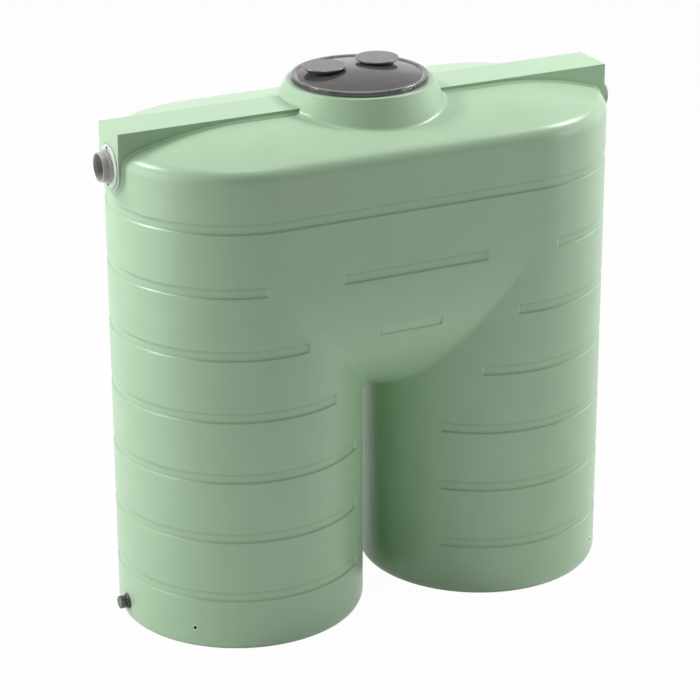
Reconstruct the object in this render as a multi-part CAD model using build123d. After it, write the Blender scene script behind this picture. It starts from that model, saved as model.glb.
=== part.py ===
from build123d import *
from build123d.topology import SkipClean
from math import degrees, sqrt
import os

os.makedirs("parts", exist_ok=True)

# Slimline water tank on two round legs, rotomoulded in one skin.
# Origin on the floor at the middle of the tank. +X runs along its length to the right end,
# -Y is the front and +Z is up. Everything is in millimetres.

# Tank body
wall = 6.0
end_radius = 390.0
leg_offset = 426.0
foot_height = 30.0
foot_inset = 16.0
leg_base_top = 32.0
leg_wall_top = 1150.0

# Bridge between the legs: a half ellipse seen along X
bridge_spring_z = 1171.0
bridge_drop = 485.0
bridge_blend = 30.0
bridge_band_half_length = 105.0

# Shoulder and roof
roof_apex_z = 1605.0
roof_rise = 64.0
roof_skirt = 105.0
shoulder_fillet = 43.0

# Moulded bands: shallow recesses, counted up from the floor. Each runs from the end of the
# tank to an angle round the leg, where 90 degrees is the front
band_first_z = 164.0
band_pitch = 198.6
band_height = 34.0
band_depth = 4.5
band_low_slope = 4.5
band_top_slope = 2.5
band_end_ramp = 10.0
band_trace = 0.3
leg_band_ends = [136.0, 136.0, 136.0, 117.0, 101.0]
bridge_band_depth = 3.0
high_band_end = 81.3
short_band_half_length = 246.0

# Overflow channel on the roof, and its tab on the end wall
channel_rise = 14.0
channel_half_width = 76.5
channel_face_x = 824.0
channel_inner_x = 232.0
channel_slot_x = 300.0
channel_bevel = 8.0
tab_centre_z = 1497.0

# Neck and its lip
neck_base_radius = 277.0
neck_base_drop = 35.0
neck_top_radius = 231.0
neck_rise = 50.0
neck_opening_radius = 196.0
neck_blend = 22.0
lip_thickness = 8.0
lip_radius = 227.0
lip_round = 4.0

# Lid
lid_rim_radius = 209.0
lid_rim_step = 8.0
lid_rim_thickness = 15.0
lid_rim_bevel = 2.5
lid_rim_groove = 2.0
lid_plate_radius = 192.0
lid_dome_rise = 16.0
lid_wall = 4.0
lid_turn = 3.3
cap_radius = 67.0
cap_thickness = 6.0
cap_bevel = 1.5
cap_collar_radius = 52.0
cap_collar_wall = 4.0
cap_spread = 93.0
cap_back = 56.5
cap_rise = 10.5

# Overflow fitting
overflow_z = 1501.0
overflow_flange_radius = 66.0
overflow_flange_thickness = 5.5
overflow_flange_edge = 3.0
overflow_flange_land = 58.0
overflow_collar_radius = 51.0
overflow_collar_reach = 15.0
overflow_pipe_radius = 45.0
overflow_tail_radius = 44.0
overflow_bore_radius = 41.5
overflow_reach = 34.0
overflow_tail = 20.0

# Outlet fitting, low on the left end
outlet_z = 60.0
outlet_bore_radius = 13.0
outlet_pipe_radius = 17.0
outlet_washer_radius = 25.0
outlet_washer_thickness = 3.0
outlet_nut_radius = 22.5
outlet_nut_thickness = 9.0
outlet_plug_radius = 20.5
outlet_plug_thickness = 16.0
outlet_plug_bevel = 1.5
outlet_gap = 3.0
outlet_tail = 25.0

# Anchor inserts, low on each leg
insert_z = 68.5
insert_angle = 45.0
insert_radius = 6.8
insert_bore_radius = 4.3
insert_depth = 20.0

# Worked out from the sizes above
end_x = leg_offset + end_radius
upper_wall_top = roof_apex_z - roof_skirt
roof_crown_radius = (end_radius ** 2 + roof_rise ** 2) / (2 * roof_rise)
crown_centre_z = roof_apex_z - roof_crown_radius
channel_top_z = roof_apex_z + channel_rise
neck_base_z = roof_apex_z - neck_base_drop
neck_top_z = roof_apex_z + neck_rise
lip_top_z = neck_top_z + lip_thickness
rim_top_z = lip_top_z + lid_rim_thickness
dome_edge_z = rim_top_z - lid_rim_bevel
dome_top_z = dome_edge_z + lid_dome_rise
cap_top_z = dome_top_z + cap_rise
band_levels = [band_first_z + band_pitch * i for i in range(7)]
far = 3 * end_x
sides = [("left", -1), ("right", 1)]


def save(shape, name):
    """Write one node, as one solid or a compound of solids that don't touch."""
    solids = shape.solids()
    piece = solids[0] if len(solids) == 1 else Compound(children=list(solids))
    export_step(piece, f"parts/{name}.step")


def save_sides(right_piece, name):
    """Write a piece for the right side, and its mirror image for the left."""
    save(right_piece, f"right_{name}")
    save(right_piece.mirror(Plane.YZ), f"left_{name}")


def slab(low_z, high_z):
    """Everything between two heights."""
    return Pos(0, 0, low_z) * Box(
        far, far, high_z - low_z, align=(Align.CENTER, Align.CENTER, Align.MIN)
    )


def disc(radius, low_z, high_z):
    """A plain disc about the Z axis."""
    return Pos(0, 0, low_z) * Cylinder(
        radius, high_z - low_z, align=(Align.CENTER, Align.CENTER, Align.MIN)
    )


def ring(outer, inner, low_z, high_z):
    """A flat ring about the Z axis."""
    return disc(outer, low_z, high_z) - disc(inner, low_z, high_z)


def along_x(shape, x, z):
    """Stand a piece made about +Z so that it points along +X from this place."""
    return Pos(x, 0, z) * Rot(0, 90, 0) * shape


def outline(*points):
    """A closed outline of (distance from the axis, height) points."""
    with BuildSketch(Plane.XZ) as section:
        with BuildLine():
            Polyline(*points, close=True)
        make_face()
    return section.sketch


def leg_turn(section):
    """Turn a section all the way round the right leg, with its seam at the gap."""
    return Pos(leg_offset, 0, 0) * revolve(section.rotate(Axis.Z, 180), Axis.Z, 360)


def segment(section, start, stop):
    """Turn a section round the right leg, between angles counted from its end to its front."""
    return Pos(leg_offset, 0, 0) * revolve(section.rotate(Axis.Z, -stop), Axis.Z, stop - start)


def part_turn(section, inner_angle):
    """Turn a section round the right leg's outer side, past its front by inner_angle."""
    reach = 90 + inner_angle
    return Pos(leg_offset, 0, 0) * revolve(section.rotate(Axis.Z, -reach), Axis.Z, 2 * reach)


def front_run(section, half_length):
    """Run a section straight along the front."""
    return extrude(section.rotate(Axis.Z, -90), half_length, both=True)


def wall_section(low_z, high_z, levels, faded=()):
    """Section of the upright wall, with a band pressed into the whole skin at each level.
    The faded bands have only a trace of depth left."""
    outside = [(end_radius, low_z)]
    inside = [(end_radius - wall, low_z)]
    for level in levels:
        high = level + band_height
        depth = band_trace if level in faded else band_depth
        for skin in (outside, inside):
            radius = skin[0][0]
            skin += [
                (radius, level), (radius - depth, level + band_low_slope),
                (radius - depth, high - band_top_slope), (radius, high),
            ]
    outside.append((end_radius, high_z))
    inside.append((end_radius - wall, high_z))
    return outline(*outside, *reversed(inside))


def banded_quarter(low_z, high_z, bands, last_angle):
    """The wall from the right end towards the front, in segments with the bands that reach them.
    A band that stops short runs out over a small ramp."""
    ramp_angle = degrees(band_end_ramp / end_radius)
    piece = None
    start = 0
    for stop in sorted({angle for _, angle in bands} | {last_angle}):
        levels = [level for level, angle in bands if angle >= stop]
        section = wall_section(low_z, high_z, levels)
        ramp_start = stop - ramp_angle if stop < last_angle else stop
        part = segment(section, start, ramp_start)
        piece = piece.fuse(part) if piece else part
        if stop < last_angle:
            fading = [level for level, angle in bands if angle == stop]
            run_out = wall_section(low_z, high_z, levels, fading)
            ramp = loft([section.rotate(Axis.Z, -ramp_start), run_out.rotate(Axis.Z, -stop)],
                        ruled=True)
            piece = piece.fuse(Pos(leg_offset, 0, 0) * ramp)
        start = stop
    return piece


def roof_height(radius, inset):
    """Height of the crowned roof at this distance from its ridge line."""
    return crown_centre_z + sqrt((roof_crown_radius - inset) ** 2 - radius ** 2)


def upper_section(inset, low_z):
    """Half section of the upper body: wall, filleted shoulder and crowned roof."""
    radius = end_radius - inset
    edge = (radius, roof_height(radius, inset))
    middle = (radius / 2, roof_height(radius / 2, inset))
    apex = (0, roof_apex_z - inset)
    with BuildSketch(Plane.XZ) as section:
        with BuildLine():
            Polyline(apex, (0, low_z), (radius, low_z), edge)
            ThreePointArc(edge, middle, apex)
        make_face()
        corner = section.vertices().group_by(Axis.X)[-1].sort_by(Axis.Y)[-1]
        fillet(corner, shoulder_fillet - inset)
    return section.sketch


def upper_form(section):
    """Carry a half section round both ends and along both sides."""
    right_end = part_turn(section, 0)
    front = front_run(section, leg_offset)
    return front + front.mirror(Plane.XZ) + right_end + right_end.mirror(Plane.YZ)


def foot_section(inset):
    """Half section of a leg's rounded foot."""
    radius = end_radius - inset
    with BuildSketch(Plane.XZ) as section:
        with BuildLine():
            Line((0, inset), (radius - foot_inset, inset))
            EllipticalCenterArc(
                (radius - foot_inset, foot_height), foot_inset, foot_height - inset,
                start_angle=270, arc_size=90,
            )
            Polyline((radius, foot_height), (radius, leg_base_top), (0, leg_base_top), (0, inset))
        make_face()
    return section.sketch


def bridge_section(inset):
    """The half ellipse under the bridge, filled in up to the top of the leg walls."""
    with BuildSketch(Plane.YZ) as section:
        with Locations((0, bridge_spring_z)):
            Ellipse(end_radius - inset, bridge_drop - inset)
        with Locations((0, leg_wall_top)):
            Rectangle(far, far, align=(Align.CENTER, Align.MIN), mode=Mode.SUBTRACT)
    return section.sketch


def channel_prism(inset, start_x):
    """The right channel with its tab: a box over a half round, run along X from start_x."""
    half_width = channel_half_width - inset
    with BuildSketch(Plane.YZ.offset(start_x)) as section:
        with Locations((0, tab_centre_z)):
            Circle(half_width)
            Rectangle(2 * half_width, channel_top_z - inset - tab_centre_z,
                      align=(Align.CENTER, Align.MIN))
    return extrude(section.sketch, channel_face_x - inset - start_x)


def lower_form(inset):
    """Both legs and the bridge as one body, with the creases between them blended."""
    core = Pos(leg_offset, 0, 0) * disc(end_radius - inset, 0, leg_wall_top)
    body = extrude(bridge_section(inset), leg_offset, both=True) + core + core.mirror(Plane.YZ)
    creases = [
        edge for edge in body.edges()
        if edge.geom_type not in (GeomType.LINE, GeomType.CIRCLE)
        and 1 < abs((edge @ 0.5).X) < leg_offset / 2
    ]
    return fillet(creases, bridge_blend + inset)


def bridge_front(z):
    """Distance of the bridge's front surface from the middle at this height."""
    return end_radius * sqrt(1 - ((bridge_spring_z - z) / bridge_drop) ** 2)


def bridge_band_cut():
    """The faint band on the bridge: a shallow wedge, deepest at its foot."""
    foot_z = band_levels[4]
    slope_z = foot_z + band_low_slope
    top_z = foot_z + band_height
    section = outline(
        (bridge_front(top_z) + band_depth, top_z), (bridge_front(top_z), top_z),
        (bridge_front(slope_z) - bridge_band_depth, slope_z), (bridge_front(foot_z), foot_z),
        (bridge_front(foot_z) + band_depth, foot_z),
    )
    return front_run(section, bridge_band_half_length)


def insert_place(radius, low, high):
    """A round plug square to the right leg's wall at its front anchor point."""
    turn = Rot(0, 0, insert_angle - 90)
    return Pos(leg_offset, 0, 0) * turn * along_x(disc(radius, low, high), end_radius, insert_z)


def save_corners(front_right_piece, name):
    """Write the front right piece, and its mirror images for the other three corners."""
    save_sides(front_right_piece, f"front_{name}")
    save_sides(front_right_piece.mirror(Plane.XZ), f"rear_{name}")


# Shapes that cut more than one piece
upper_solid = upper_form(upper_section(0, leg_wall_top))
slot = channel_prism(wall, channel_slot_x)
overflow_hole = along_x(
    disc(overflow_tail_radius, -overflow_tail, overflow_reach), channel_face_x, overflow_z
)
outlet_hole = along_x(disc(outlet_pipe_radius, -outlet_tail, outlet_tail), end_x, outlet_z)
leg_core = Pos(leg_offset, 0, 0) * disc(end_radius, 0, bridge_spring_z)
lower_inside = lower_form(wall)

# Legs: half rings, open to the bridge at the top, with their bands and fitting holes. The walls
# keep the seams between their segments, so that every face is a plain patch
leg_bands = list(zip(band_levels, leg_band_ends))
with SkipClean():
    leg_wall = banded_quarter(leg_base_top, leg_wall_top, leg_bands, 180.0).cut(
        lower_inside, insert_place(insert_radius, -insert_depth, insert_depth)
    )
    outlet_side = leg_wall.cut(outlet_hole).mirror(Plane.YZ)
save(leg_wall, "right_front_leg_wall")
save(leg_wall.mirror(Plane.XZ), "right_rear_leg_wall")
save(outlet_side, "left_front_leg_wall")
save(outlet_side.mirror(Plane.XZ), "left_rear_leg_wall")
save_sides(leg_turn(foot_section(0) - foot_section(wall)), "leg_base")

# Bridge between the legs
bridge = lower_form(0) - lower_inside - leg_core - leg_core.mirror(Plane.YZ)
bridge_band = bridge_band_cut()
save(bridge - bridge_band - bridge_band.mirror(Plane.XZ), "bridge_underside")

# Upper walls
high_bands = [(band_levels[5], high_band_end), (band_levels[6], 90.0)]
with SkipClean():
    end_wall = banded_quarter(leg_wall_top, upper_wall_top, high_bands, 90.0)
    end_wall = end_wall.fuse(end_wall.mirror(Plane.XZ)).cut(slot)
save_sides(end_wall, "end_wall")
both_bands = wall_section(leg_wall_top, upper_wall_top, band_levels[5:])
run_out = wall_section(leg_wall_top, upper_wall_top, band_levels[5:], [band_levels[5]])
one_band = wall_section(leg_wall_top, upper_wall_top, band_levels[6:])
ramp_start = short_band_half_length - band_end_ramp
side_ramp = loft([
    Pos(ramp_start, 0, 0) * both_bands.rotate(Axis.Z, -90),
    Pos(short_band_half_length, 0, 0) * run_out.rotate(Axis.Z, -90),
], ruled=True)
side_end = Pos((leg_offset + short_band_half_length) / 2, 0, 0) * front_run(
    one_band, (leg_offset - short_band_half_length) / 2
)
with SkipClean():
    side_half = side_ramp.fuse(side_end)
    side_wall = front_run(both_bands, ramp_start).fuse(side_half, side_half.mirror(Plane.YZ))
save(side_wall, "front_wall")
save(side_wall.mirror(Plane.XZ), "rear_wall")

# Roof, open under the neck and under the channels
roof_skin = upper_section(0, upper_wall_top) - upper_section(wall, upper_wall_top)
roof = upper_form(roof_skin) - disc(neck_base_radius - 3 * wall, upper_wall_top, channel_top_z)
save(roof - slot - slot.mirror(Plane.YZ), "roof")

# Neck, blended into the roof
neck_slope = (neck_base_radius - neck_top_radius) / (neck_top_z - neck_base_z)
neck_foot_radius = neck_base_radius + neck_slope * (neck_base_z - upper_wall_top)
neck_solid = revolve(outline((0, upper_wall_top), (neck_foot_radius, upper_wall_top),
                             (neck_top_radius, neck_top_z), (0, neck_top_z)), Axis.Z, 360)
neck_inside = revolve(outline((0, upper_wall_top), (neck_foot_radius - wall, upper_wall_top),
                              (neck_top_radius - wall, neck_top_z), (0, neck_top_z)),
                      Axis.Z, 360)
neck_body = upper_solid + neck_solid
neck_crease = [
    edge for edge in neck_body.edges()
    if edge.geom_type != GeomType.LINE and upper_wall_top < (edge @ 0.5).Z < neck_top_z
    and Vector((edge @ 0.5).X, (edge @ 0.5).Y, 0).length < neck_base_radius
]
neck_body = fillet(neck_crease, neck_blend)
save(neck_body - upper_solid - neck_inside, "neck")
lip = revolve(outline((neck_opening_radius, neck_top_z), (neck_top_radius, neck_top_z),
                      (lip_radius, lip_top_z), (neck_opening_radius, lip_top_z)), Axis.Z, 360)
save(fillet(lip.edges().group_by(Axis.Z)[-1].sort_by(SortBy.LENGTH)[-1], lip_round), "neck_lip")

# Overflow channels, bevelled where they meet the roof and the end walls
channel_body = upper_solid + channel_prism(0, channel_inner_x)
channel_creases = [
    edge for edge in channel_body.edges()
    if abs((edge @ 0.5).Y) < channel_half_width + 1
    and channel_inner_x + 1 < (edge @ 0.5).X < channel_face_x - 1
    and tab_centre_z - channel_half_width - channel_bevel < (edge @ 0.5).Z
    and max((edge @ 0).X, (edge @ 1).X) < channel_face_x - 1
    < channel_top_z - 1
]
channel = chamfer(channel_creases, channel_bevel) - channel_prism(wall, channel_inner_x)
save_sides(channel - upper_solid - neck_body - overflow_hole, "overflow_channel")

# Lid
dome_radius = (lid_plate_radius ** 2 + lid_dome_rise ** 2) / (2 * lid_dome_rise)
rim_step_z = lip_top_z + lid_rim_step
rim_groove_radius = lid_rim_radius - lid_rim_groove
rim_section = outline(
    (lid_plate_radius, lip_top_z), (lid_rim_radius, lip_top_z), (lid_rim_radius, rim_step_z),
    (rim_groove_radius, rim_step_z + 0.5), (rim_groove_radius, rim_step_z + 1.5),
    (lid_rim_radius - 0.5, rim_step_z + lid_rim_groove), (lid_rim_radius - 0.5, rim_top_z - lid_rim_bevel),
    (lid_rim_radius - lid_rim_bevel, rim_top_z),
    (lid_plate_radius + 2 * lid_rim_bevel, rim_top_z), (lid_plate_radius, rim_top_z - lid_rim_bevel),
)
save(revolve(rim_section, Axis.Z, 360), "lid_rim")


def dome_body(drop):
    """Everything of the lid's plate under its domed top, lowered by this much."""
    half_radius = lid_plate_radius / 2
    half_z = dome_top_z - dome_radius + sqrt(dome_radius ** 2 - half_radius ** 2) - drop
    with BuildSketch(Plane.XZ) as section:
        with BuildLine():
            Polyline((0, dome_top_z - drop), (0, lip_top_z - drop),
                     (lid_plate_radius, lip_top_z - drop), (lid_plate_radius, dome_edge_z - drop))
            ThreePointArc((lid_plate_radius, dome_edge_z - drop), (half_radius, half_z),
                          (0, dome_top_z - drop))
        make_face()
    return revolve(section.sketch, Axis.Z, 360)


save(dome_body(0) - dome_body(lid_wall), "lid_dome")

for side, side_sign in sides:
    spot = Rot(0, 0, lid_turn) * Pos(side_sign * cap_spread, cap_back, 0)
    collar = spot * ring(cap_collar_radius, cap_collar_radius - cap_collar_wall, lip_top_z,
                         cap_top_z - cap_thickness)
    save(collar - dome_body(0), f"{side}_cap_collar")
    cap = disc(cap_radius, cap_top_z - cap_thickness, cap_top_z)
    cap = chamfer(cap.edges().filter_by(GeomType.CIRCLE), cap_bevel)
    save(spot * cap, f"{side}_lid_cap")

# Overflow fittings
flange = revolve(outline(
    (overflow_tail_radius, 0), (overflow_flange_radius, 0),
    (overflow_flange_radius, overflow_flange_edge), (overflow_flange_land, overflow_flange_thickness),
    (overflow_tail_radius, overflow_flange_thickness),
), Axis.Z, 360)
spigot = revolve(outline(
    (overflow_bore_radius, -overflow_tail), (overflow_tail_radius, -overflow_tail),
    (overflow_tail_radius, overflow_flange_thickness),
    (overflow_collar_radius, overflow_flange_thickness),
    (overflow_collar_radius, overflow_collar_reach), (overflow_pipe_radius, overflow_collar_reach),
    (overflow_pipe_radius, overflow_reach), (overflow_bore_radius, overflow_reach),
), Axis.Z, 360)
save_sides(along_x(flange, channel_face_x, overflow_z), "overflow_flange")
save_sides(along_x(spigot, channel_face_x, overflow_z), "overflow_spigot")

# Outlet: threaded body through the wall, flange nut outside, plug on its end
body_reach = outlet_nut_thickness + outlet_gap
outlet_body = ring(outlet_pipe_radius, outlet_bore_radius, -outlet_tail, body_reach)
nut = disc(outlet_washer_radius, 0, outlet_washer_thickness)
nut += extrude(RegularPolygon(outlet_nut_radius, side_count=8), outlet_nut_thickness)
nut -= disc(outlet_pipe_radius, 0, outlet_nut_thickness)
plug_top = body_reach + outlet_plug_thickness
plug_edge = outlet_plug_radius - outlet_plug_bevel
plug = revolve(outline(
    (0, body_reach), (outlet_pipe_radius, body_reach),
    (outlet_plug_radius, body_reach + 2 * outlet_plug_bevel),
    (outlet_plug_radius, plug_top - outlet_plug_bevel), (plug_edge, plug_top), (0, plug_top),
), Axis.Z, 360)
for shape, name in ((outlet_body, "body"), (nut, "flange_nut"), (plug, "plug")):
    save(along_x(shape, end_x, outlet_z).mirror(Plane.YZ), f"outlet_{name}")

# Anchor inserts
insert = insert_place(insert_radius, -insert_depth, 0)
insert -= insert_place(insert_bore_radius, wall - insert_depth, insert_depth)
save_corners(insert, "anchor_insert")
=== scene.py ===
from math import cos, radians, sin

import bpy
from mathutils import Matrix, Vector


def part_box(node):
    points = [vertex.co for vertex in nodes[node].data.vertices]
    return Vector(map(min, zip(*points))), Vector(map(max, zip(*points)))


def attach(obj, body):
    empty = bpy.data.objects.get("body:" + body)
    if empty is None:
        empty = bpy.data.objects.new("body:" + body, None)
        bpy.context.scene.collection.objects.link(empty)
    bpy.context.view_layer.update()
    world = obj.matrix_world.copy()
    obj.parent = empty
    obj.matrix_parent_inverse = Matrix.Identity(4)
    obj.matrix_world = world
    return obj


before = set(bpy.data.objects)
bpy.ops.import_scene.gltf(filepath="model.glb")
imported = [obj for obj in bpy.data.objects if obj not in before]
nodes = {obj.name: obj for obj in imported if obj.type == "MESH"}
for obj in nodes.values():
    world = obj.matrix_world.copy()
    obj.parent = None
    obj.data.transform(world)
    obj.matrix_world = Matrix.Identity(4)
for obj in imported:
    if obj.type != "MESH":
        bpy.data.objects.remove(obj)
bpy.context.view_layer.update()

# The photograph's view, in metres, degrees and pixels of its 700 x 700 frame
FRAME_PX = 700
FOCAL_PX = 2793.7
CAMERA_PLACE = (-3.6003, -7.3811, 4.1041)
CAMERA_AZIMUTH = 25.777
CAMERA_PITCH = 22.123
CAMERA_ROLL = -0.191
CAMERA_SIGHT = 100.0
SENSOR_MM = 36.0

# Colours, linear
TANK_GREEN = (0.455, 0.66, 0.44)
LID_BLACK = (0.07, 0.07, 0.068)
RIM_BLACK = (0.035, 0.035, 0.034)
CAP_GREY = (0.16, 0.16, 0.155)
FLANGE_GREY = (0.70, 0.74, 0.72)
PIPE_GREY = (0.52, 0.52, 0.51)
OUTLET_BLACK = (0.04, 0.04, 0.04)
INSERT_BRASS = (0.80, 0.76, 0.52)
# Near-black that is painted shade: the whole anchor insert wears it, standing for the shade deep in
# its bore
INSERT_SHADE_BLACK = (0.008, 0.008, 0.008)
SCREW_STEEL = (0.05, 0.05, 0.05)
FLOOR_WHITE = (0.86, 0.86, 0.86)
WHITE = (1.0, 1.0, 1.0)

# The finish of each CAD node: the first word here that its name holds decides
FINISH_BY_WORD = (
    ("cap_collar", "lid"),
    ("lid_cap", "caps"),
    ("lid_rim", "rim"),
    ("lid", "lid"),
    ("overflow_flange", "flange"),
    ("overflow_spigot", "pipe"),
    ("outlet", "outlet"),
    # the anchor insert gets painted shade, a near-black that stands for the shade in its bore
    ("insert", "bore"),
)

# Screws, in metres: radius and height of the head; length, width and depth of its slot
SCREW_SIDES = 32
SCREW_EDGE = 0.0008
FLANGE_SCREW_HEAD = (0.0045, 0.003)
FLANGE_SCREW_SLOT = (0.006, 0.0012, 0.001)
FLANGE_SCREW_OFFSET = 0.0565
LID_SCREW_HEAD = (0.0034, 0.0026)
LID_SCREW_SLOT = (0.005, 0.001, 0.0009)
LID_SCREW_RADIUS = 0.1985
LID_SCREW_COUNT = 4

# Beads and rings, in metres. An inset is from the edge, a drop from the top.
BEAD_SEGMENTS = 96
BEAD_SIDES = 12
PIPE_RADIUS = 0.045
PIPE_BORE = 0.0415
PIPE_RING_THICKNESS = 0.0018
PIPE_RING_INSETS = (0.006, 0.011)
RIM_BEAD_THICKNESS = 0.005
RIM_BEAD_INSET = 0.0026
RIM_BEAD_DROP = 0.0021
CAP_BEAD_THICKNESS = 0.0038
CAP_BEAD_INSET = 0.0018
CAP_BEAD_DROP = 0.0019
INSERT_RIM_RADIUS = 0.0066
INSERT_RIM_THICKNESS = 0.0018
LEG_OFFSET = 0.426

# Painted shade in the creases of the green: how near the other surface is, in metres, and how dark
# the painted shade gets
CREASE_SHADE_REACH = 0.012
CREASE_SHADE_DEEPEST = 0.0
MOULDED_EDGE = 0.001

# The floor, in metres, and the share of plain white that it shows to the camera
FLOOR_SIZE = 60.0
FLOOR_DROP = 0.0005
FLOOR_PLAIN_SHARE = 0.975

# Even light of the room, and the soft boxes: place, aim, width, height and power
ROOM_LIGHT = 0.112
SOFT_BOXES = (
    ("left_box", (-5.0, 0.3, 1.6), (0, 0, 0.9), 3.0, 4.0, 99),
    ("left_top_box", (-2.9, 1.6, 4.2), (-0.4, 0, 1.3), 1.1, 0.8, 88),
    ("left_back_box", (-4.0, 3.5, 2.0), (0, 0, 0.9), 2.5, 4.0, 25),
    ("right_box", (5.0, 0.0, 1.6), (0, 0, 0.9), 3.0, 4.0, 44),
    ("right_front_box", (4.6, -3.2, 1.6), (0.4, 0, 0.9), 1.5, 4.0, 62),
    ("right_top_box", (3.1, 0.3, 4.4), (0.4, 0, 1.2), 1.1, 0.8, 98),
    ("top_box", (0, 0.3, 5.2), (0, 0, 1.0), 1.4, 1.4, 26),
    ("back_box", (2.6, 5.2, 2.6), (0, 0, 1.5), 4.5, 1.6, 10),
)


def new_material(name, colour, roughness, specular=0.5):
    """A material with its colour, roughness and gloss set on the shader's own sockets."""
    material = bpy.data.materials.new(name)
    material.use_nodes = True
    shader = material.node_tree.nodes["Principled BSDF"]
    shader.inputs["Base Color"].default_value = (*colour, 1.0)
    shader.inputs["Roughness"].default_value = roughness
    shader.inputs["Specular IOR Level"].default_value = specular
    return material, material.node_tree, shader


def object_coordinates(tree):
    """Places on the piece, in metres."""
    return tree.nodes.new("ShaderNodeTexCoord").outputs["Object"]


def noise(tree, coordinates, scale, detail):
    """A noise pattern with this many features a metre."""
    node = tree.nodes.new("ShaderNodeTexNoise")
    node.inputs["Scale"].default_value = scale
    node.inputs["Detail"].default_value = detail
    node.inputs["Roughness"].default_value = 0.5
    tree.links.new(coordinates, node.inputs["Vector"])
    return node.outputs["Fac"]


def ramp(tree, factor, low, high, low_colour, high_colour):
    """Blend from one colour to the other as the factor goes from low to high."""
    node = tree.nodes.new("ShaderNodeValToRGB")
    for element, position, colour in zip(
        node.color_ramp.elements, (low, high), (low_colour, high_colour)
    ):
        element.position = position
        element.color = (*colour, 1.0)
    tree.links.new(factor, node.inputs["Fac"])
    return node.outputs["Color"]


def to_range(tree, factor, low, high):
    """Spread a 0 to 1 factor over a range of values."""
    node = tree.nodes.new("ShaderNodeMapRange")
    node.inputs["To Min"].default_value = low
    node.inputs["To Max"].default_value = high
    tree.links.new(factor, node.inputs["Value"])
    return node.outputs["Result"]


def soft_edges(tree, radius):
    """The surface's direction with its edges rounded a little, so that they catch the light."""
    node = tree.nodes.new("ShaderNodeBevel")
    node.samples = 4
    node.inputs["Radius"].default_value = radius
    return node.outputs["Normal"]


def bump(tree, shader, height, strength, distance, direction=None):
    """Raise the surface by a height pattern, in metres, from its plain or rounded direction."""
    node = tree.nodes.new("ShaderNodeBump")
    node.inputs["Strength"].default_value = strength
    node.inputs["Distance"].default_value = distance
    tree.links.new(height, node.inputs["Height"])
    if direction:
        tree.links.new(direction, node.inputs["Normal"])
    tree.links.new(node.outputs["Normal"], shader.inputs["Normal"])


def shade(colour, factor):
    """The same colour, lighter or darker."""
    return tuple(min(1.0, channel * factor) for channel in colour)


def painted_crease_shade(tree, colour, reach, deepest):
    """Painted shade: the colour, down to this share of itself where other surfaces crowd in within
    reach.
    """
    node = tree.nodes.new("ShaderNodeAmbientOcclusion")
    node.samples = 4
    node.inputs["Distance"].default_value = reach
    mix = tree.nodes.new("ShaderNodeVectorMath")
    mix.operation = "SCALE"
    tree.links.new(colour, mix.inputs[0])
    tree.links.new(to_range(tree, node.outputs["AO"], deepest, 1.0), mix.inputs["Scale"])
    return mix.outputs["Vector"]


def moulded_green():
    """Rotomoulded polyethylene: satin, faintly mottled, with a fine orange-peel skin and painted
    shade in its creases.
    """
    material, tree, shader = new_material("moulded_green", TANK_GREEN, 0.3)
    place = object_coordinates(tree)
    mottle = noise(tree, place, 9.0, 4.0)
    colour = ramp(tree, mottle, 0.35, 0.65, shade(TANK_GREEN, 0.985), shade(TANK_GREEN, 1.015))
    # painted shade: the base colour darkens in creases and seams, where shade falls
    tree.links.new(painted_crease_shade(tree, colour, CREASE_SHADE_REACH, CREASE_SHADE_DEEPEST),
                   shader.inputs["Base Color"])
    tree.links.new(to_range(tree, noise(tree, place, 60.0, 3.0), 0.3, 0.36),
                   shader.inputs["Roughness"])
    bump(tree, shader, noise(tree, place, 420.0, 2.0), 0.06, 0.0005)
    return material


def moulded_part(name, colour, roughness, ior=1.5):
    """Injection-moulded plastic with a faint grain, shinier with a higher index."""
    material, tree, shader = new_material(name, colour, roughness)
    shader.inputs["IOR"].default_value = ior
    place = object_coordinates(tree)
    tree.links.new(
        ramp(tree, noise(tree, place, 30.0, 3.0), 0.3, 0.7, shade(colour, 0.9), shade(colour, 1.1)),
        shader.inputs["Base Color"],
    )
    tree.links.new(
        to_range(tree, noise(tree, place, 90.0, 2.0), roughness * 0.85, roughness * 1.15),
        shader.inputs["Roughness"],
    )
    bump(tree, shader, noise(tree, place, 900.0, 2.0), 0.05, 0.0002,
         soft_edges(tree, MOULDED_EDGE))
    return material


def metal(name, colour, roughness):
    """Plain metal."""
    material, _, shader = new_material(name, colour, roughness)
    shader.inputs["Metallic"].default_value = 1.0
    return material


def make_finishes():
    """Every finish on the tank, by name."""
    return {
        "brass": metal("insert_brass", INSERT_BRASS, 0.4),
        "steel": metal("screw_steel", SCREW_STEEL, 0.35),
        "green": moulded_green(),
        "lid": moulded_part("lid_black", LID_BLACK, 0.15, 1.3),
        "caps": moulded_part("cap_grey", CAP_GREY, 0.4),
        "rim": moulded_part("rim_black", RIM_BLACK, 0.12, 1.9),
        "cap_edges": moulded_part("cap_edge_grey", CAP_GREY, 0.12, 1.9),
        "flange": moulded_part("flange_grey", FLANGE_GREY, 0.35),
        "pipe": moulded_part("pipe_grey", PIPE_GREY, 0.3),
        "outlet": moulded_part("outlet_black", OUTLET_BLACK, 0.22, 1.8),
        # painted shade: near-black on the whole anchor insert, for the shade deep in its bore
        "bore": new_material("insert_painted_shade", INSERT_SHADE_BLACK, 0.7, 0.1)[0],
    }


def dress_nodes(finishes):
    """Give each CAD node the finish of what it is, or else the tank's green."""
    for name, node in nodes.items():
        finish = next((finish for word, finish in FINISH_BY_WORD if word in name), "green")
        for slot in node.material_slots:
            slot.material = finishes[finish]


def keep(piece, name, finish):
    """Name a piece, give it its finish and let it ride on the tank."""
    piece.name = name
    piece.data.name = name
    piece.data.materials.append(finish)
    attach(piece, "root")


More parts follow.
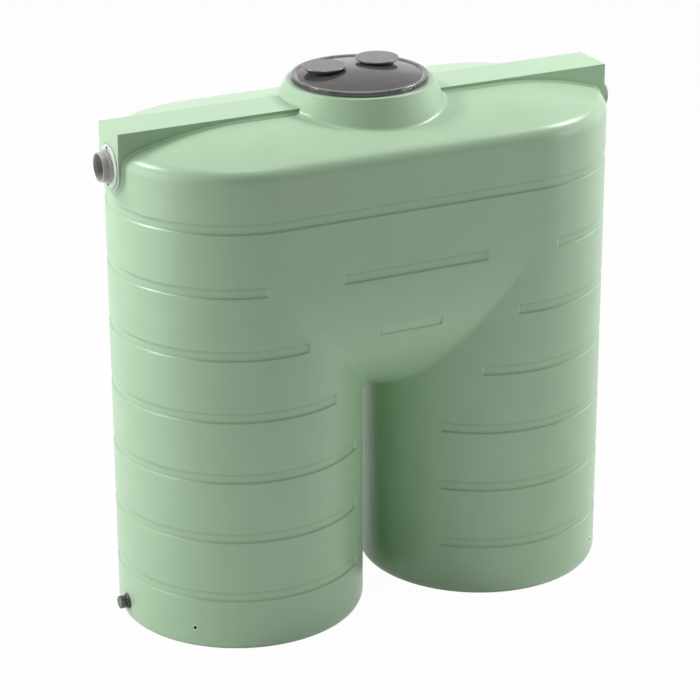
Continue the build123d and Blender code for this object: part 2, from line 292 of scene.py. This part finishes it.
def make_screw(name, head, slot, place, outward, turn, finish):
    """A screw's head with its edges bevelled and a straight slot across the way it faces."""
    radius, depth = head
    bpy.ops.mesh.primitive_cylinder_add(vertices=SCREW_SIDES, radius=radius, depth=depth,
                                        location=place, rotation=turn)
    piece = bpy.context.object
    bpy.ops.object.transform_apply(location=True, rotation=True, scale=True)
    modifier = piece.modifiers.new("edge", "BEVEL")
    modifier.width = SCREW_EDGE
    modifier.segments = 3
    bpy.ops.object.modifier_apply(modifier="edge")
    bpy.ops.object.shade_smooth_by_angle(angle=radians(40))
    keep(piece, name, finish)
    press_slot(piece, outward, *slot)


def press_slot(piece, outward, length, width, depth):
    """Cut a straight driver slot into a screw's head, across the way it faces."""
    centre = sum((Vector(corner) for corner in piece.bound_box), Vector()) / 8
    reach = max(abs((Vector(corner) - centre).dot(outward)) for corner in piece.bound_box)
    bpy.ops.mesh.primitive_cube_add(size=1.0, location=centre + outward * reach)
    cutter = bpy.context.object
    cutter.scale = (length, width, 2 * depth)
    cutter.rotation_euler = outward.to_track_quat("Z", "Y").to_euler()
    bpy.ops.object.transform_apply(location=True, rotation=True, scale=True)
    modifier = piece.modifiers.new("slot", "BOOLEAN")
    modifier.operation = "DIFFERENCE"
    modifier.object = cutter
    bpy.ops.object.select_all(action="DESELECT")
    bpy.context.view_layer.objects.active = piece
    piece.select_set(True)
    bpy.ops.object.modifier_apply(modifier="slot")
    bpy.data.objects.remove(cutter)


def make_flange_screws(finishes):
    """A screw above and below each overflow pipe."""
    for side, side_sign in (("left", -1), ("right", 1)):
        low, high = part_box(f"{side}_overflow_flange")
        face_x = high[0] if side_sign > 0 else low[0]
        middle_z = (low[2] + high[2]) / 2
        for level, level_sign in (("upper", 1), ("lower", -1)):
            place = (face_x, 0, middle_z + level_sign * FLANGE_SCREW_OFFSET)
            make_screw(f"{side}_{level}_flange_screw", FLANGE_SCREW_HEAD, FLANGE_SCREW_SLOT, place,
                       Vector((side_sign, 0, 0)), (0, radians(90), 0), finishes["steel"])


def make_lid_screws(finishes):
    """Screws spread evenly round the lid's rim."""
    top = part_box("lid_rim")[1][2]
    for number in range(LID_SCREW_COUNT):
        angle = radians(360 / LID_SCREW_COUNT * number)
        place = (LID_SCREW_RADIUS * cos(angle), LID_SCREW_RADIUS * sin(angle), top)
        make_screw(f"lid_screw_{number + 1}", LID_SCREW_HEAD, LID_SCREW_SLOT, place,
                   Vector((0, 0, 1)), (0, 0, 0), finishes["outlet"])


def bead(name, radius, thickness, place, turn, finish):
    """A round bead of this ring radius and thickness."""
    bpy.ops.mesh.primitive_torus_add(
        major_radius=radius, minor_radius=thickness / 2, major_segments=BEAD_SEGMENTS,
        minor_segments=BEAD_SIDES, location=place, rotation=turn,
    )
    piece = bpy.context.object
    bpy.ops.object.transform_apply(location=True, rotation=True, scale=True)
    bpy.ops.object.shade_smooth()
    keep(piece, name, finish)


def make_pipe_rings(finishes):
    """Raised rings outside and inside each overflow pipe, near its mouth."""
    for side, side_sign in (("left", -1), ("right", 1)):
        low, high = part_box(f"{side}_overflow_spigot")
        mouth_x = high[0] if side_sign > 0 else low[0]
        middle_z = (low[2] + high[2]) / 2
        for where, radius in (("outer", PIPE_RADIUS), ("inner", PIPE_BORE)):
            for number, inset in enumerate(PIPE_RING_INSETS, 1):
                place = (mouth_x - side_sign * inset, 0, middle_z)
                bead(f"{side}_{where}_pipe_ring_{number}", radius, PIPE_RING_THICKNESS, place,
                     (0, radians(90), 0), finishes["pipe"])


def make_lid_beads(finishes):
    """The rounded edges of the lid's rim and of its two caps, which catch the light."""
    low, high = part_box("lid_rim")
    bead("lid_rim_bead", (high[0] - low[0]) / 2 - RIM_BEAD_INSET, RIM_BEAD_THICKNESS,
         (0, 0, high[2] - RIM_BEAD_DROP), (0, 0, 0), finishes["rim"])
    for side in ("left", "right"):
        low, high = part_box(f"{side}_lid_cap")
        place = ((low[0] + high[0]) / 2, (low[1] + high[1]) / 2, high[2] - CAP_BEAD_DROP)
        bead(f"{side}_cap_bead", (high[0] - low[0]) / 2 - CAP_BEAD_INSET, CAP_BEAD_THICKNESS,
             place, (0, 0, 0), finishes["cap_edges"])


def make_insert_rims(finishes):
    """The brass rim round each anchor insert's bore."""
    for name in [name for name in nodes if name.endswith("anchor_insert")]:
        corners = [vertex.co for vertex in nodes[name].data.vertices]
        middle = sum(corners, Vector()) / len(corners)
        leg_axis = Vector((LEG_OFFSET if middle.x > 0 else -LEG_OFFSET, 0, middle.z))
        outward = (middle - leg_axis).normalized()
        face = max((corner - leg_axis).dot(outward) for corner in corners)
        bead(name + "_rim", INSERT_RIM_RADIUS, INSERT_RIM_THICKNESS, leg_axis + outward * face,
             outward.to_track_quat("Z", "Y").to_euler(), finishes["brass"])


def seen_directly(tree):
    """1 for rays from the camera, a reflection or a clear material, 0 for all others."""
    path = tree.nodes.new("ShaderNodeLightPath")
    total = path.outputs["Is Camera Ray"]
    for name in ("Is Glossy Ray", "Is Transmission Ray"):
        add = tree.nodes.new("ShaderNodeMath")
        add.operation = "MAXIMUM"
        tree.links.new(total, add.inputs[0])
        tree.links.new(path.outputs[name], add.inputs[1])
        total = add.outputs[0]
    return total


def make_floor():
    """A pale floor that looks almost white and keeps a faint share of the tank's shadow."""
    bpy.ops.mesh.primitive_plane_add(size=FLOOR_SIZE, location=(0, 0, -FLOOR_DROP))
    floor = bpy.context.object
    floor.name = "floor"
    material, tree, shader = new_material("floor_white", FLOOR_WHITE, 0.9, 0.0)
    white = tree.nodes.new("ShaderNodeEmission")
    mix = tree.nodes.new("ShaderNodeMixShader")
    share = tree.nodes.new("ShaderNodeMath")
    share.operation = "MULTIPLY"
    share.inputs[1].default_value = FLOOR_PLAIN_SHARE
    output = tree.nodes["Material Output"]
    tree.links.new(seen_directly(tree), share.inputs[0])
    tree.links.new(share.outputs[0], mix.inputs["Fac"])
    tree.links.new(shader.outputs[0], mix.inputs[1])
    tree.links.new(white.outputs[0], mix.inputs[2])
    tree.links.new(mix.outputs[0], output.inputs["Surface"])
    floor.data.materials.append(material)


def make_world(level):
    """Soft even light, and a white background for the camera and for reflections."""
    world = bpy.data.worlds.new("studio")
    bpy.context.scene.world = world
    world.use_nodes = True
    tree = world.node_tree
    background = tree.nodes["Background"]
    tree.links.new(to_range(tree, seen_directly(tree), level, 1.0), background.inputs["Strength"])
    background.inputs["Color"].default_value = (*WHITE, 1.0)


def area_light(name, place, aim, width, height, power):
    """A soft box at a place, facing a point."""
    data = bpy.data.lights.new(name, "AREA")
    data.shape = "RECTANGLE"
    data.size = width
    data.size_y = height
    data.energy = power
    lamp = bpy.data.objects.new(name, data)
    bpy.context.collection.objects.link(lamp)
    lamp.location = place
    lamp.rotation_euler = (Vector(aim) - Vector(place)).to_track_quat("-Z", "Y").to_euler()


def make_lights():
    """The room's even light, and soft boxes at both ends, overhead and behind."""
    make_world(ROOM_LIGHT)
    for box in SOFT_BOXES:
        area_light(*box)


def make_camera():
    """The camera at the photograph's place, turned as it was and with its focal length."""
    azimuth = radians(CAMERA_AZIMUTH)
    pitch = radians(CAMERA_PITCH)
    roll = radians(CAMERA_ROLL)
    forward = Vector((sin(azimuth) * cos(pitch), cos(azimuth) * cos(pitch), -sin(pitch)))
    level = Vector((cos(azimuth), -sin(azimuth), 0.0))
    upward = level.cross(forward)
    right = cos(roll) * level + sin(roll) * upward
    up = cos(roll) * upward - sin(roll) * level
    data = bpy.data.cameras.new("photo_camera")
    data.sensor_width = SENSOR_MM
    data.lens = SENSOR_MM * FOCAL_PX / FRAME_PX
    data.clip_end = CAMERA_SIGHT
    camera = bpy.data.objects.new("photo_camera", data)
    bpy.context.collection.objects.link(camera)
    turn = Matrix((right, up, -forward)).transposed()
    camera.matrix_world = Matrix.Translation(CAMERA_PLACE) @ turn.to_4x4()
    bpy.context.scene.camera = camera


bpy.ops.object.select_all(action="DESELECT")
finishes = make_finishes()
dress_nodes(finishes)
make_flange_screws(finishes)
make_pipe_rings(finishes)
make_lid_beads(finishes)
make_lid_screws(finishes)
make_insert_rims(finishes)
bpy.ops.object.select_all(action="DESELECT")
make_floor()
make_lights()
make_camera()
bpy.context.scene.view_settings.view_transform = "Standard"
